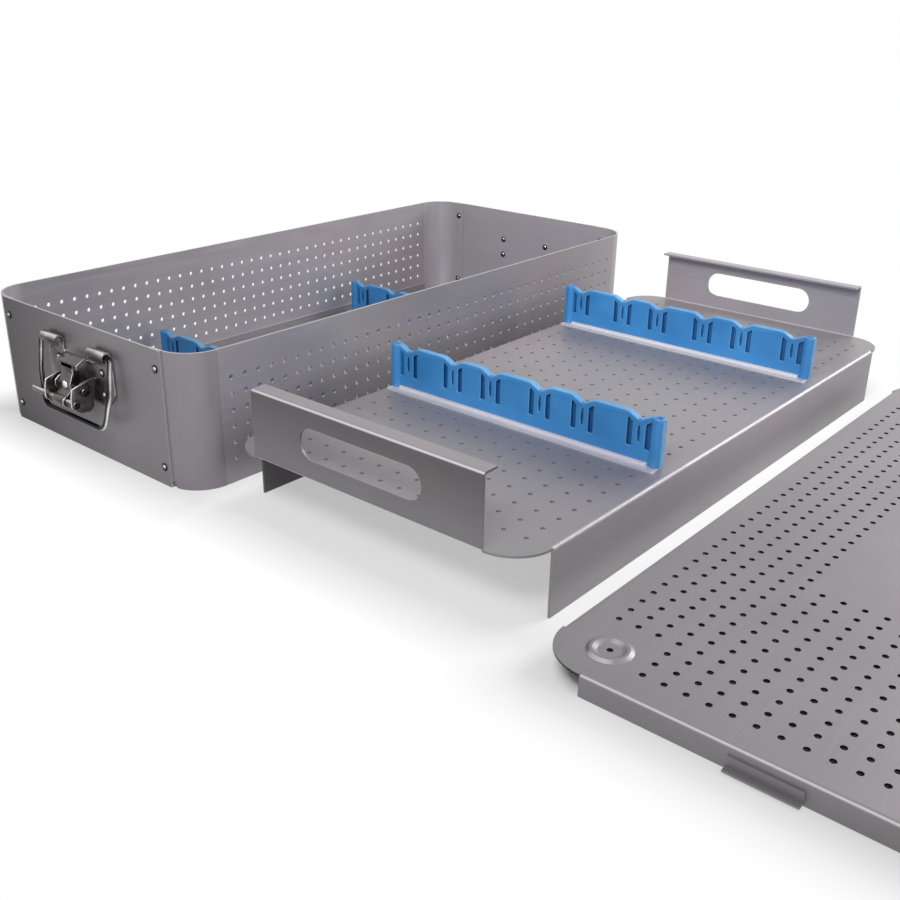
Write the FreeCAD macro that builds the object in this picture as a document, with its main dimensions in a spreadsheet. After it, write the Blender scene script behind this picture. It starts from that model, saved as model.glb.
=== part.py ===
import FreeCAD, Part
import math
import os
from types import SimpleNamespace

import Sketcher
from FreeCAD import Placement, Rotation, Vector

# Sterilization container: an open perforated box with a latch and a drop handle on each end,
# an inner tray on legs standing beside it, and the flat cap lid lying in front.
# Frame: X along the box, Y across it, Z up, origin on the box floor's underside at its centre.
# The near end is at -X, the right side is at -Y. Every length is in millimetres.

SIZES = {
    # box
    "box_length": 545,
    "box_width": 252,
    "box_height": 100,
    "corner_radius": 27,
    "sheet": 1.5,
    "corner_flange": 11,
    "end_plate_inset": 25.5,
    "relief_width": 4,
    "relief_height": 4,
    "floor_sheet": 1.2,
    "floor_flange_height": 8,
    # perforation: pitch, hole diameter and edge margins
    "wall_pitch": 12,
    "wall_hole": 3.4,
    "wall_side_margin": 38.5,
    "wall_bottom_margin": 18,
    "wall_top_margin": 22,
    "floor_pitch": 16,
    "floor_hole": 3,
    "floor_margin": 22,
    # rivets that hold the end plates
    "rivet_shank": 3.2,
    "rivet_head": 6,
    "rivet_dome": 1.6,
    "rivet_inset": 6,
    "rivet_edge": 14,
    # latch base and the knuckles of the drop handle
    "latch_sheet": 1.5,
    "latch_offset": 3,
    "latch_foot": 43,
    "latch_shoulder": 54,
    "latch_foot_half": 31,
    "latch_half": 41.5,
    "latch_bridge": 74,
    "knuckle_height": 83,
    "knuckle_reach": 4.3,
    "knuckle_radius": 4.2,
    "knuckle_inner": 20,
    "knuckle_outer": 40.5,
    "latch_rivet_side": 28,
    "latch_rivet_low": 52,
    "latch_rivet_high": 68.5,
    "running_gap": 0.05,
    # pin, lever, finger rod and hook, as reach from the end plate and height
    "pin_radius": 2,
    "pin_reach": 11,
    "pin_height": 54,
    "pin_head": 3.2,
    "ear_side": 13.2,
    "cheek_side": 16.5,
    "rod_radius": 2.25,
    "rod_reach": 19,
    "rod_height": 46.2,
    "rod_stub": 38.6,
    "hook_strap": 15.7,
    "hook_neck_half": 7,
    "hook_head_half": 13,
    "hook_face": 12.5,
    "hook_brow": 73,
    "hook_tip": 4,
    "hook_top": 77.5,
    "hook_lip": 3.6,
    # drop handle
    "bail_wire": 4,
    "bail_drop": 53,
    "bail_half": 44.5,
    "bail_waist": 27,
    "bail_waist_half": 45,
    "bail_foot_half": 39,
    "bail_tilt": 7.7,
    # inner tray
    "tray_length": 522,
    "tray_width": 243.6,
    "tray_deck": 45,
    "tray_grip": 46,
    "tray_corner": 27.8,
    "tray_lip": 12,
    "tray_sheet": 1.5,
    "bend_radius": 1.2,
    "tray_pitch": 15.6,
    "tray_hole": 3,
    "tray_end_margin": 27,
    "tray_side_margin": 17.8,
    "slot_length": 100,
    "slot_height": 21.5,
    "slot_rise": 23,
    "tray_near_end": -262.4,
    "tray_right_side": -397.4,
    # instrument holders and their rails
    "holder_length": 232,
    "holder_thickness": 5,
    "holder_height": 34.5,
    "holder_end_width": 9,
    "notch_depth": 4.5,
    "notch_half": 8.8,
    "slit_low": 11.5,
    "slit_high": 31,
    "slit_width": 3.8,
    "slit_depth": 3,
    "slit_spacing": 6.8,
    "group_inner": 21.3,
    "group_middle": 55.8,
    "group_outer": 98.9,
    "rail_sheet": 1.2,
    "rail_height": 3.2,
    "rail_flange": 7,
    "rail_end_gap": 1.5,
    "box_holder_x": 121,
    "tray_near_holder": 157.5,
    "tray_far_holder": 385,
    "tray_holder_offset": 3,
    # lid
    "lid_clearance": 0.5,
    "lid_sheet": 1.2,
    "lid_depth": 13.2,
    "lid_corner": 31,
    "lid_end_margin": 20.5,
    "lid_side_margin": 18.4,
    "lid_pitch": 12.05,
    "lid_hole": 3.6,
    "lid_blank_columns": 12,
    "lid_blank_rows": 6,
    "lid_corner_cells": 3,
    "dimple_end_inset": 28.2,
    "dimple_side_inset": 31,
    "dimple_radius": 12.8,
    "dimple_rise": 1.3,
    "catch_half": 18.5,
    "catch_reach": 5,
    "lid_near_end": -283.8,
    "lid_left_side": -418.8,
}

doc = FreeCAD.newDocument("SterilizationContainer")
table = doc.addObject("Spreadsheet::Sheet", "Sizes")
for line, (word, number) in enumerate(SIZES.items(), 1):
    table.set(f"A{line}", word)
    table.set(f"B{line}", str(number))
    table.setAlias(f"B{line}", word)
doc.recompute()


class Size:
    """A dimension of the table, or a sum made of them: its value and the same in words for a binding."""

    def __init__(self, value, text=None):
        self.value = float(value)
        self.text = text or repr(float(value))

    def joined(self, other, sign, value):
        return Size(value, f"({self.text} {sign} {other.text})")

    def __add__(self, other):
        other = as_size(other)
        return self.joined(other, "+", self.value + other.value)

    def __sub__(self, other):
        other = as_size(other)
        return self.joined(other, "-", self.value - other.value)

    def __mul__(self, other):
        other = as_size(other)
        return self.joined(other, "*", self.value * other.value)

    def __truediv__(self, other):
        other = as_size(other)
        return self.joined(other, "/", self.value / other.value)

    def __radd__(self, other):
        return as_size(other) + self

    def __rsub__(self, other):
        return as_size(other) - self

    def __rmul__(self, other):
        return as_size(other) * self

    def __neg__(self):
        return as_size(0) - self

    def __float__(self):
        return self.value


def as_size(number):
    return number if isinstance(number, Size) else Size(number)


s = SimpleNamespace(**{word: Size(table.get(word), f"Sizes.{word}") for word in SIZES})
half_length = s.box_length / 2
half_width = s.box_width / 2
ORIGIN = Placement()
nodes = []


def keep(obj, name, place=ORIGIN):
    """Name a finished piece and put it in its place."""
    obj.Label = name
    obj.Placement = place
    nodes.append(obj)
    return obj


# Sketches and pads bound to the table

def new_body(name):
    return doc.addObject("PartDesign::Body", name + "_body")


def pin_point(sketch, item, point, x, y):
    """Hold one point of a sketch at x, y from the origin."""
    for kind, size in (("DistanceX", x), ("DistanceY", y)):
        size = as_size(size)
        index = sketch.addConstraint(Sketcher.Constraint(kind, -1, 1, item, point, size.value))
        sketch.setExpression(f"Constraints[{index}]", size.text)


def draw_outline(sketch, corners):
    """A closed outline of straight lines through the corners."""
    first = sketch.GeometryCount
    spots = [Vector(float(x), float(y), 0) for x, y in corners]
    for spot, following in zip(spots, spots[1:] + spots[:1]):
        sketch.addGeometry(Part.LineSegment(spot, following), False)
    for step in range(len(corners)):
        following = (step + 1) % len(corners)
        sketch.addConstraint(Sketcher.Constraint("Coincident", first + step, 2, first + following, 1))
    for step, (x, y) in enumerate(corners):
        pin_point(sketch, first + step, 1, x, y)


def draw_circle(sketch, x, y, radius):
    radius = as_size(radius)
    circle = Part.Circle(Vector(float(x), float(y), 0), Vector(0, 0, 1), radius.value)
    item = sketch.addGeometry(circle, False)
    pin_point(sketch, item, 3, x, y)
    index = sketch.addConstraint(Sketcher.Constraint("Radius", item, radius.value))
    sketch.setExpression(f"Constraints[{index}]", radius.text)


def pad(body, plane, start, length, outline=None, circles=()):
    """Pad an outline with round holes, or circles alone, from start over length along the plane's normal.

    On the XZ plane the pad runs from y = start to y = start + length.
    """
    start, length = as_size(start), as_size(length)
    sketch = body.newObject("Sketcher::SketchObject", "Profile")
    datum = next(item for item in body.Origin.OriginFeatures if item.Role == plane + "_Plane")
    sketch.AttachmentSupport = [(datum, "")]
    sketch.MapMode = "FlatFace"
    offset = -(start + length) if plane == "XZ" else start
    sketch.setExpression("AttachmentOffset.Base.z", offset.text)
    if outline:
        draw_outline(sketch, outline)
    for x, y, radius in circles:
        draw_circle(sketch, x, y, radius)
    feature = body.newObject("PartDesign::Pad", "Pad")
    feature.Profile = sketch
    feature.setExpression("Length", length.text)
    return feature


def primitive(kind, **bound):
    """A Part primitive whose named properties are bound to the table."""
    obj = doc.addObject("Part::" + kind, kind)
    for name, size in bound.items():
        obj.setExpression(name.replace("_", "."), as_size(size).text)
    return obj


def solid_box(length, width, height, x, y, z):
    obj = primitive("Box", Length=length, Width=width, Height=height)
    for axis, size in (("x", x), ("y", y), ("z", z)):
        obj.setExpression("Placement.Base." + axis, as_size(size).text)
    return obj


def solid_cylinder(radius, height, x, y, z, turn=None):
    obj = primitive("Cylinder", Radius=radius, Height=height)
    if turn:
        obj.Placement = Placement(Vector(), turn)
    for axis, size in (("x", x), ("y", y), ("z", z)):
        obj.setExpression("Placement.Base." + axis, as_size(size).text)
    return obj


def joined(kind, shapes):
    """A MultiFuse of the shapes, or a Cut of the first by the second."""
    obj = doc.addObject("Part::" + kind, kind)
    if kind == "Cut":
        obj.Base, obj.Tool = shapes
    else:
        obj.Shapes = shapes
    return obj


def made(name, shape, place=ORIGIN):
    """A piece whose shape is worked out here: bent sheets, perforated sheets, wire and rivets."""
    obj = doc.addObject("Part::Feature", name)
    obj.Shape = shape
    return keep(obj, name, place * shape.Placement)


# Flat shapes with round corners, for the pieces that are worked out here

def rounded_wire(corners, closed=True):
    """A wire through (x, y, radius) corners, each corner rounded by its radius."""
    spots = [(Vector(float(x), float(y), 0), float(radius)) for x, y, radius in corners]
    joints = []
    for index, (spot, radius) in enumerate(spots):
        before = spots[index - 1][0]
        after = spots[(index + 1) % len(spots)][0]
        end_of_path = not closed and index in (0, len(spots) - 1)
        if radius == 0 or end_of_path:
            joints.append((spot, None, spot))
            continue
        back, ahead = (before - spot).normalize(), (after - spot).normalize()
        half_angle = back.getAngle(ahead) / 2
        reach = radius / math.tan(half_angle)
        middle = spot + (back + ahead).normalize() * (radius / math.sin(half_angle) - radius)
        joints.append((spot + back * reach, middle, spot + ahead * reach))
    edges = []
    for index, (enter, middle, leave) in enumerate(joints):
        if middle:
            edges.append(Part.Arc(enter, middle, leave).toShape())
        if closed or index < len(joints) - 1:
            following = joints[(index + 1) % len(joints)][0]
            if (following - leave).Length > 1e-6:
                edges.append(Part.makeLine(leave, following))
    return Part.Wire(edges)


def slab(outer, holes, thickness):
    """A flat sheet in the XY plane with round holes (x, y, radius) or wires cut through it."""
    cuts = []
    for hole in holes:
        if isinstance(hole, Part.Wire):
            cuts.append(hole)
        else:
            x, y, radius = hole
            cuts.append(Part.Wire(Part.Circle(Vector(x, y, 0), Vector(0, 0, 1), radius).toShape()))
    face = Part.Face(outer)
    if cuts:
        face = Part.makeFace([outer] + cuts, "Part::FaceMakerBullseye")
    return face.extrude(Vector(0, 0, float(thickness)))


def grid(low, high, pitch):
    """Evenly spaced places from low to high, about a pitch apart, centred between them."""
    count = max(1, round((float(high) - float(low)) / float(pitch)))
    step = (float(high) - float(low)) / count
    return [float(low) + step * index for index in range(count + 1)]


def bent_strip(path, thickness, length, radius):
    """A sheet bent along an open path of (x, y) corners, thick to the left of it, running along Z."""
    spots = [Vector(float(x), float(y), 0) for x, y in path]
    thickness, radius = float(thickness), float(radius)
    sides = []
    for start, end in zip(spots, spots[1:]):
        along = (end - start).normalize()
        sides.append(Vector(-along.y, along.x, 0))
    outer, inner = [], []
    for index, spot in enumerate(spots):
        before = sides[max(index - 1, 0)]
        after = sides[min(index, len(sides) - 1)]
        shift = (before + after) * (thickness / (1 + before.dot(after)))
        turn = before.cross(after).z
        rounding = 0 if abs(turn) < 1e-9 else radius
        wider = rounding and rounding + thickness
        outer.append((spot.x, spot.y, wider if turn > 0 else rounding))
        inner.append((spot.x + shift.x, spot.y + shift.y, rounding if turn > 0 else wider))
    wire = rounded_wire(outer + inner[::-1])
    return Part.Face(wire).extrude(Vector(0, 0, float(length)))


TURN_UP = Rotation(Vector(1, 0, 0), 90)          # a flat shape's x to X, its y to Z
FLAT_TO_END = Rotation(Vector(1, 1, 1), 120)     # a flat shape's x to Y, its y to Z, its thickness to X
FACING = {"near": 180, "far": 0}


def end_place(end):
    """The frame of one end: x outward from the end plate's face, z up."""
    turn = Rotation(Vector(0, 0, 1), FACING[end])
    side = -1 if end == "near" else 1
    return Placement(Vector(side * float(half_length), 0, 0), turn)


# The box

wrap_end = half_length - s.sheet
corner_x = wrap_end - s.corner_radius
corner_y = half_width - s.corner_radius
plate_half = half_width - s.end_plate_inset
rivet_side = plate_half - s.rivet_inset
rivet_heights = (s.rivet_edge, s.box_height - s.rivet_edge)


def side_wall(name, side):
    """The flat perforated stretch of one long wall, between the round corners."""
    left, right = -float(corner_x), float(corner_x)
    outer = rounded_wire([(left, 0, 0), (right, 0, 0), (right, s.box_height, 0), (left, s.box_height, 0)])
    limit = float(half_length - s.wall_side_margin)
    columns = grid(-limit, limit, s.wall_pitch)
    rows = grid(s.wall_bottom_margin, s.box_height - s.wall_top_margin, s.wall_pitch)
    radius = float(s.wall_hole) / 2
    holes = [(x, z, radius) for x in columns for z in rows]
    face_y = float(half_width) if side > 0 else -float(half_width - s.sheet)
    made(name, slab(outer, holes, s.sheet), Placement(Vector(0, face_y, 0), TURN_UP))


def corner(name, along, side):
    """A round corner of the box wall with the flat flange that the end plate is riveted to."""
    quarter = {(1, 1): 0, (-1, 1): 90, (-1, -1): 180, (1, -1): 270}[(along, side)]
    ring = []
    for radius in (s.corner_radius, s.corner_radius - s.sheet):
        cylinder = solid_cylinder(radius, s.box_height, along * corner_x, side * corner_y, 0,
                                  Rotation(Vector(0, 0, 1), quarter))
        cylinder.Angle = 90
        ring.append(cylinder)
    flange_x = wrap_end - s.sheet if along > 0 else -wrap_end
    flange_y = corner_y - s.corner_flange if side > 0 else -corner_y
    flange = solid_box(s.sheet, s.corner_flange, s.box_height, flange_x, flange_y, 0)
    relief_y = plate_half if side > 0 else -(plate_half + s.relief_width)
    relief_x = corner_x if along > 0 else -(corner_x + s.corner_radius)
    tools = [solid_box(s.corner_radius, s.relief_width, s.relief_height, relief_x, relief_y, 0)]
    along_x = Rotation(Vector(0, 1, 0), 90)
    for height in rivet_heights:
        tools.append(solid_cylinder(s.rivet_shank / 2, 3 * s.sheet, flange_x - s.sheet, side * rivet_side,
                                    height, along_x))
    body = joined("MultiFuse", [joined("Cut", ring), flange])
    keep(joined("Cut", [body, joined("MultiFuse", tools)]), name)


def end_plate(end):
    """The plain plate riveted over the corner flanges, drilled for its rivets and the latch's."""
    body = new_body(end + "_end_plate")
    holes = [(side * rivet_side, height, s.rivet_shank / 2) for side in (-1, 1) for height in rivet_heights]
    holes += [(side * s.latch_rivet_side + s.latch_offset, height, s.rivet_shank / 2)
              for side in (-1, 1) for height in (s.latch_rivet_low, s.latch_rivet_high)]
    outline = [(-plate_half, 0), (plate_half, 0), (plate_half, s.box_height), (-plate_half, s.box_height)]
    pad(body, "YZ", -s.sheet, s.sheet, outline, holes)
    keep(body, end + "_end_plate", end_place(end))


def rivet(grip_start, grip_end):
    """One rivet along X: a dome outside at grip_end and a flatter one inside at grip_start."""
    shank, head, dome = (float(size) for size in (s.rivet_shank, s.rivet_head, s.rivet_dome))
    low, high = float(grip_start), float(grip_end)
    body = Part.makeCylinder(shank / 2, high - low, Vector(low, 0, 0), Vector(1, 0, 0))
    for place, outward, rise in ((high, 1, dome), (low, -1, dome * 0.75)):
        ball = ((head / 2) ** 2 + rise ** 2) / (2 * rise)
        start = math.degrees(math.asin((ball - rise) / ball))
        centre = Vector(place + outward * (rise - ball), 0, 0)
        body = body.fuse(Part.makeSphere(ball, centre, Vector(outward, 0, 0), start, 90, 360))
    return body


def rivet_group(name, place, spots, grip_start, grip_end):
    """Identical rivets at (y, z) spots, kept together as separate solids."""
    group = []
    for y, z in spots:
        one = rivet(grip_start, grip_end)
        one.translate(Vector(0, float(y), float(z)))
        group.append(one)
    made(name, Part.makeCompound(group), place)


def box_floor():
    """The perforated floor and the two upturned edges that fix it to the long walls."""
    length = float(wrap_end - s.sheet) * 2
    width = float(half_width - s.sheet) * 2
    radius = float(s.corner_radius - s.sheet)
    outer = rounded_wire([(x * length / 2, y * width / 2, radius)
                          for x, y in ((-1, -1), (1, -1), (1, 1), (-1, 1))])
    reach_x, reach_y = length / 2 - float(s.floor_margin), width / 2 - float(s.floor_margin)
    radius = float(s.floor_hole) / 2
    rows = grid(-reach_y, reach_y, s.floor_pitch)
    holes = [(x, y, radius) for x in grid(-reach_x, reach_x, s.floor_pitch) for y in rows]
    made("floor_plate", slab(outer, holes, s.floor_sheet))
    for name, side in (("floor_flange_left", 1), ("floor_flange_right", -1)):
        y = half_width - s.sheet - s.floor_sheet if side > 0 else -(half_width - s.sheet)
        edge = solid_box(2 * corner_x, s.floor_sheet, s.floor_flange_height - s.floor_sheet,
                         -corner_x, y, s.floor_sheet)
        edge.Label = name
        nodes.append(edge)


# The latch and the drop handle on each end

def latch_place(end):
    """The end's frame moved sideways to the latch's middle, a little off the plate's."""
    return end_place(end) * Placement(Vector(0, float(s.latch_offset), 0), Rotation())


def latch_base(end):
    """Riveted base sheet: two knuckles rolled over the handle's wire and two ears that hold the pin."""
    body = new_body(end + "_latch_base")
    right = [(s.latch_foot_half, s.latch_foot), (s.latch_half, s.latch_shoulder),
             (s.latch_half, s.latch_bridge), (s.knuckle_outer, s.latch_bridge),
             (s.knuckle_outer, s.knuckle_height), (s.knuckle_inner, s.knuckle_height),
             (s.knuckle_inner, s.latch_bridge)]
    outline = right + [(-y, z) for y, z in right[::-1]]
    holes = [(side * s.latch_rivet_side, height, s.rivet_shank / 2)
             for side in (-1, 1) for height in (s.latch_rivet_low, s.latch_rivet_high)]
    pad(body, "YZ", 0, s.latch_sheet, outline, holes)
    bore = s.bail_wire / 2 + s.running_gap
    ear = [(0, s.pin_height - 8), (s.pin_reach, s.pin_height - 6), (s.pin_reach + 4.5, s.pin_height - 2),
           (s.pin_reach + 4.5, s.pin_height + 3), (s.pin_reach, s.pin_height + 6), (0, s.pin_height + 8)]
    roll = [(s.knuckle_reach, s.knuckle_height, radius) for radius in (s.knuckle_radius, bore)]
    for low in (s.knuckle_inner, -s.knuckle_outer):
        pad(body, "XZ", low, s.knuckle_outer - s.knuckle_inner, None, roll)
    for low in (s.ear_side, -(s.ear_side + s.latch_sheet)):
        pad(body, "XZ", low, s.latch_sheet, ear, [(s.pin_reach, s.pin_height, s.pin_radius)])
    keep(body, end + "_latch_base", latch_place(end))


def latch_pin(end):
    """The lever's pin, pressed in the base's ears, with a head outside each cheek of the lever."""
    reach = s.cheek_side + s.latch_sheet + 0.3
    along_y = Rotation(Vector(1, 0, 0), -90)
    shank = solid_cylinder(s.pin_radius, 2 * reach, s.pin_reach, -reach, s.pin_height, along_y)
    heads = [solid_cylinder(s.pin_head, 1, s.pin_reach, y, s.pin_height, along_y)
             for y in (-reach - 1, reach)]
    keep(joined("MultiFuse", [shank] + heads), end + "_latch_pin", latch_place(end))


def latch_lever(end):
    """The lever: two cheeks on the pin joined by a scoop-shaped web along their lower edge."""
    body = new_body(end + "_latch_lever")
    x, z = s.pin_reach, s.pin_height
    back_low, low, front_low = (x - 6.5, z - 12), (x - 3, z - 15.5), (x + 5, z - 14.7)
    cheek = [(x - 3, z + 8), (x - 7, z), back_low, low, front_low, (x + 8.5, z - 12.5), (x + 11.6, z - 9.5),
             (x + 11.3, z - 2), (x + 9.7, z + 4.5)]
    holes = [(x, z, s.pin_radius + s.running_gap), (s.rod_reach, s.rod_height, s.rod_radius)]
    for start in (s.cheek_side, -(s.cheek_side + s.latch_sheet)):
        pad(body, "XZ", start, s.latch_sheet, cheek, holes)
    web = [back_low, low, front_low, (x + 4.4, z - 13.2), (x - 2.4, z - 13.9), (x - 5.4, z - 10.9)]
    pad(body, "XZ", -s.cheek_side, 2 * s.cheek_side, web)
    keep(body, end + "_latch_lever", latch_place(end))


def finger_rod(end):
    """The rod that works the lever: it passes both cheeks and stands out on one side."""
    end_y = s.cheek_side + s.latch_sheet + 0.3
    along_y = Rotation(Vector(1, 0, 0), -90)
    rod = solid_cylinder(s.rod_radius, s.rod_stub + end_y, s.rod_reach, -s.rod_stub, s.rod_height, along_y)
    collar = solid_cylinder(s.rod_radius + 0.6, 1, s.rod_reach, end_y - 0.1, s.rod_height, along_y)
    keep(joined("MultiFuse", [rod, collar]), end + "_finger_rod", latch_place(end))


def latch_hook(end):
    """The hook on the rod: a rolled eye, a narrow strap and a wide roof-shaped head with two short lips."""
    body = new_body(end + "_latch_hook")
    x, z, face, strap, brow, tip, top = (s.rod_reach, s.rod_height, s.hook_face, s.hook_strap, s.hook_brow,
                                         s.hook_tip, s.hook_top)
    sheet, half = s.latch_sheet, s.hook_neck_half
    pad(body, "XZ", -half, 2 * half, None, [(x, z, s.rod_radius + 1.8), (x, z, s.rod_radius + s.running_gap)])
    neck = [(x - 1.8, z + 2.4), (x + 0.2, z + 3.4), (strap, z + 7.4), (strap, z + 12), (face, z + 20),
            (face, brow - 1), (face - sheet, brow - 1), (face - sheet, z + 19.6), (strap - sheet, z + 11.6),
            (strap - sheet, z + 6.6)]
    pad(body, "XZ", -half, 2 * half, neck)
    half = s.hook_head_half
    head = [(face - sheet, brow - s.hook_lip), (face, brow - s.hook_lip), (face, brow), (tip, top),
            (tip, top - s.hook_lip), (tip + sheet, top - s.hook_lip), (tip + sheet, top - 2.5),
            (face - sheet, brow - 0.9)]
    pad(body, "XZ", -half, 2 * half, head)
    keep(body, end + "_latch_hook", latch_place(end))


def drop_handle(end):
    """The wire handle: ends in the knuckles, sides that splay a little, then a rounded foot."""
    inner = float(s.knuckle_inner) + 1
    side = [(inner, 0, 0), (s.bail_half, 0, 3.5), (s.bail_waist_half, -s.bail_waist, 20),
            (s.bail_foot_half, -s.bail_drop, 9)]
    path = rounded_wire(side + [(-x, y, radius) for x, y, radius in side[::-1]], closed=False)
    ring = Part.Wire(Part.Circle(Vector(inner, 0, 0), Vector(1, 0, 0), float(s.bail_wire) / 2).toShape())
    wire = path.makePipeShell([ring], True, False)
    pivot = Placement(Vector(float(s.knuckle_reach), 0, float(s.knuckle_height)),
                      Rotation(Vector(0, 1, 0), -float(s.bail_tilt)))
    made(end + "_bail", wire, latch_place(end) * pivot * Placement(Vector(), FLAT_TO_END))


# Instrument holders and rails, in a frame whose origin is on the deck below the holder's middle

def holder_shape():
    """A scalloped strip across the deck: V notches on top, three blind upright slits below each notch."""
    half, top = float(s.holder_length) / 2, float(s.holder_height)
    base, thick, depth = float(s.rail_sheet), float(s.holder_thickness), float(s.slit_depth)
    right = [float(place) for place in (s.group_inner, s.group_middle, s.group_outer)]
    groups = [-place for place in right[::-1]] + right
    reach, dip = float(s.notch_half), top - float(s.notch_depth)
    outline = [(-half, base, 0), (half, base, 0), (half, top, 2)]
    for place in groups[::-1]:
        outline += [(place + reach, top, 9), (place, dip, 1.2), (place - reach, top, 9)]
    outline.append((-half, top, 2))
    low, high, width = float(s.slit_low), float(s.slit_high), float(s.slit_width)
    cuts = []
    for place in groups:
        for side in (-1, 1):
            middle = place + side * float(s.slit_spacing)
            inner, outer = middle - side * width / 2, middle + side * width / 2
            cuts.append(rounded_wire([(inner, low, 0.6), (outer, low, 0.6), (outer, high, 0.6),
                                      (inner, high - width * 0.8, 0.6)]))
        waist = (low + high) / 2
        cuts.append(rounded_wire([(place, low + 2, 0), (place + width / 3, waist, 6), (place, high - 3, 0),
                                  (place - width / 3, waist, 6)]))
    slotted = slab(rounded_wire(outline), cuts, depth)
    slotted.translate(Vector(0, 0, -thick / 2))
    back = slab(rounded_wire(outline), [], thick - depth)
    back.translate(Vector(0, 0, depth - thick / 2))
    strip = slotted.fuse(back)
    radius = float(s.holder_end_width) / 2
    for side in (-1, 1):
        centre = Vector(side * (half - radius), base, 0)
        strip = strip.fuse(Part.makeCylinder(radius, top - base, centre, Vector(0, 1, 0)))
    return strip.removeSplitter()


def rail_and_holder(rail_name, holder_name, x, y, deck):
    """A rail with a flat flange on the deck and the holder seated in it, across the box or the tray."""
    place = Placement(Vector(float(x), float(y), float(deck)), Rotation(Vector(0, 0, 1), 0))
    body = new_body(rail_name)
    half = s.holder_thickness / 2
    outer, length = half + s.rail_sheet, s.holder_length / 2 - s.rail_end_gap
    flange = -half - s.rail_flange
    base = [(flange, 0), (outer, 0), (outer, s.rail_sheet), (flange, s.rail_sheet)]
    pad(body, "XZ", -length, 2 * length, base)
    length = s.holder_length / 2 - s.holder_end_width
    for low, high in ((-outer, -half), (half, outer)):
        edge = [(low, 0), (high, 0), (high, s.rail_height), (low, s.rail_height)]
        pad(body, "XZ", -length, 2 * length, edge)
    keep(body, rail_name, place)
    stand = Placement(Vector(), FLAT_TO_END)
    made(holder_name, holder_shape(), place * stand)


# The inner tray, in a frame whose origin is on the table below the tray's middle

tray_half_length = s.tray_length / 2
tray_half_width = s.tray_width / 2
tray_place = Placement(Vector(float(s.tray_near_end + tray_half_length),
                              float(s.tray_right_side + tray_half_width), 0), Rotation())
tray_bend = s.bend_radius + s.tray_sheet


def tray_floor():
    """The perforated deck: round corners, cut back at the straight edges where the bends begin."""
    length, width = float(tray_half_length), float(tray_half_width)
    radius, bend = float(s.tray_corner), float(tray_bend)
    corner_cut = radius - 0.01
    edge = []
    for x, y in ((1, 1), (-1, 1), (-1, -1), (1, -1)):
        near_x = [(x * (length - bend), y * (width - radius), 0), (x * length, y * (width - radius), 0)]
        round_x = [(x * length, y * width, radius)]
        near_y = [(x * (length - radius), y * width, 0), (x * (length - radius), y * (width - bend), 0)]
        edge.append((near_x, round_x, near_y, corner_cut))
    outline = []
    for index, (near_x, round_x, near_y, corner_cut) in enumerate(edge):
        trimmed = [(round_x[0][0], round_x[0][1], corner_cut)]
        order = near_x + trimmed + near_y
        outline += order if index % 2 == 0 else order[::-1]
    reach_x, reach_y = length - float(s.tray_end_margin), width - float(s.tray_side_margin)
    hole = float(s.tray_hole) / 2
    rows = grid(-reach_y, reach_y, s.tray_pitch)
    holes = [(x, y, hole) for x in grid(-reach_x, reach_x, s.tray_pitch) for y in rows]
    sheet = slab(rounded_wire(outline), holes, s.tray_sheet)
    sheet.translate(Vector(0, 0, float(s.tray_deck - s.tray_sheet)))
    made("tray_floor", sheet, tray_place)


def tray_leg(name, side):
    """A long side bent down as a leg: a rounded fold and a plain strip to the table."""
    deck, bend = s.tray_deck, tray_bend
    path = [(tray_half_width, 0), (tray_half_width, deck), (tray_half_width - bend, deck)]
    strip = bent_strip(path, s.tray_sheet, 2 * (tray_half_length - s.tray_corner), s.bend_radius)
    strip.translate(Vector(0, 0, -float(tray_half_length - s.tray_corner)))
    turn = FLAT_TO_END
    if side < 0:
        turn = Rotation(Vector(0, 0, 1), 180) * turn
    made(name, strip, tray_place * Placement(Vector(), turn))


def tray_handle(name, along):
    """An end bent up as a handle: hand slot, and a short lip turned inward along its top."""
    deck, top, reach = s.tray_deck, s.tray_deck + s.tray_grip, tray_half_length
    width = float(tray_half_width - s.tray_corner)
    low = deck - s.tray_sheet
    path = [(reach - tray_bend, low), (reach, low), (reach, top), (reach - s.tray_lip, top)]
    strip = bent_strip(path, s.tray_sheet, 2 * width, s.bend_radius)
    strip.translate(Vector(0, 0, -width))
    strip.Placement = Placement(Vector(), Rotation(Vector(1, 0, 0), 90)) * strip.Placement
    half, radius = float(s.slot_length) / 2, float(s.slot_height) / 2
    cutter = slab(rounded_wire([(-half, -radius, radius * 0.999), (half, -radius, radius * 0.999),
                                (half, radius, radius * 0.999), (-half, radius, radius * 0.999)]), [], 12)
    cutter.Placement = Placement(Vector(float(reach) - 6, 0, float(deck + s.slot_rise)), FLAT_TO_END)
    strip = strip.cut(cutter)
    turn = Rotation(Vector(0, 0, 1), 0 if along > 0 else 180)
    made(name, strip, tray_place * Placement(Vector(), turn))


# The lid, in a frame whose origin is on the table below the lid's middle

lid_half_length = half_length + s.lid_clearance + s.lid_sheet
lid_half_width = half_width + s.lid_clearance + s.lid_sheet
lid_place = Placement(Vector(float(s.lid_near_end + lid_half_length),
                             float(s.lid_left_side - lid_half_width), 0), Rotation())
lid_bend = s.bend_radius + s.lid_sheet


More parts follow.
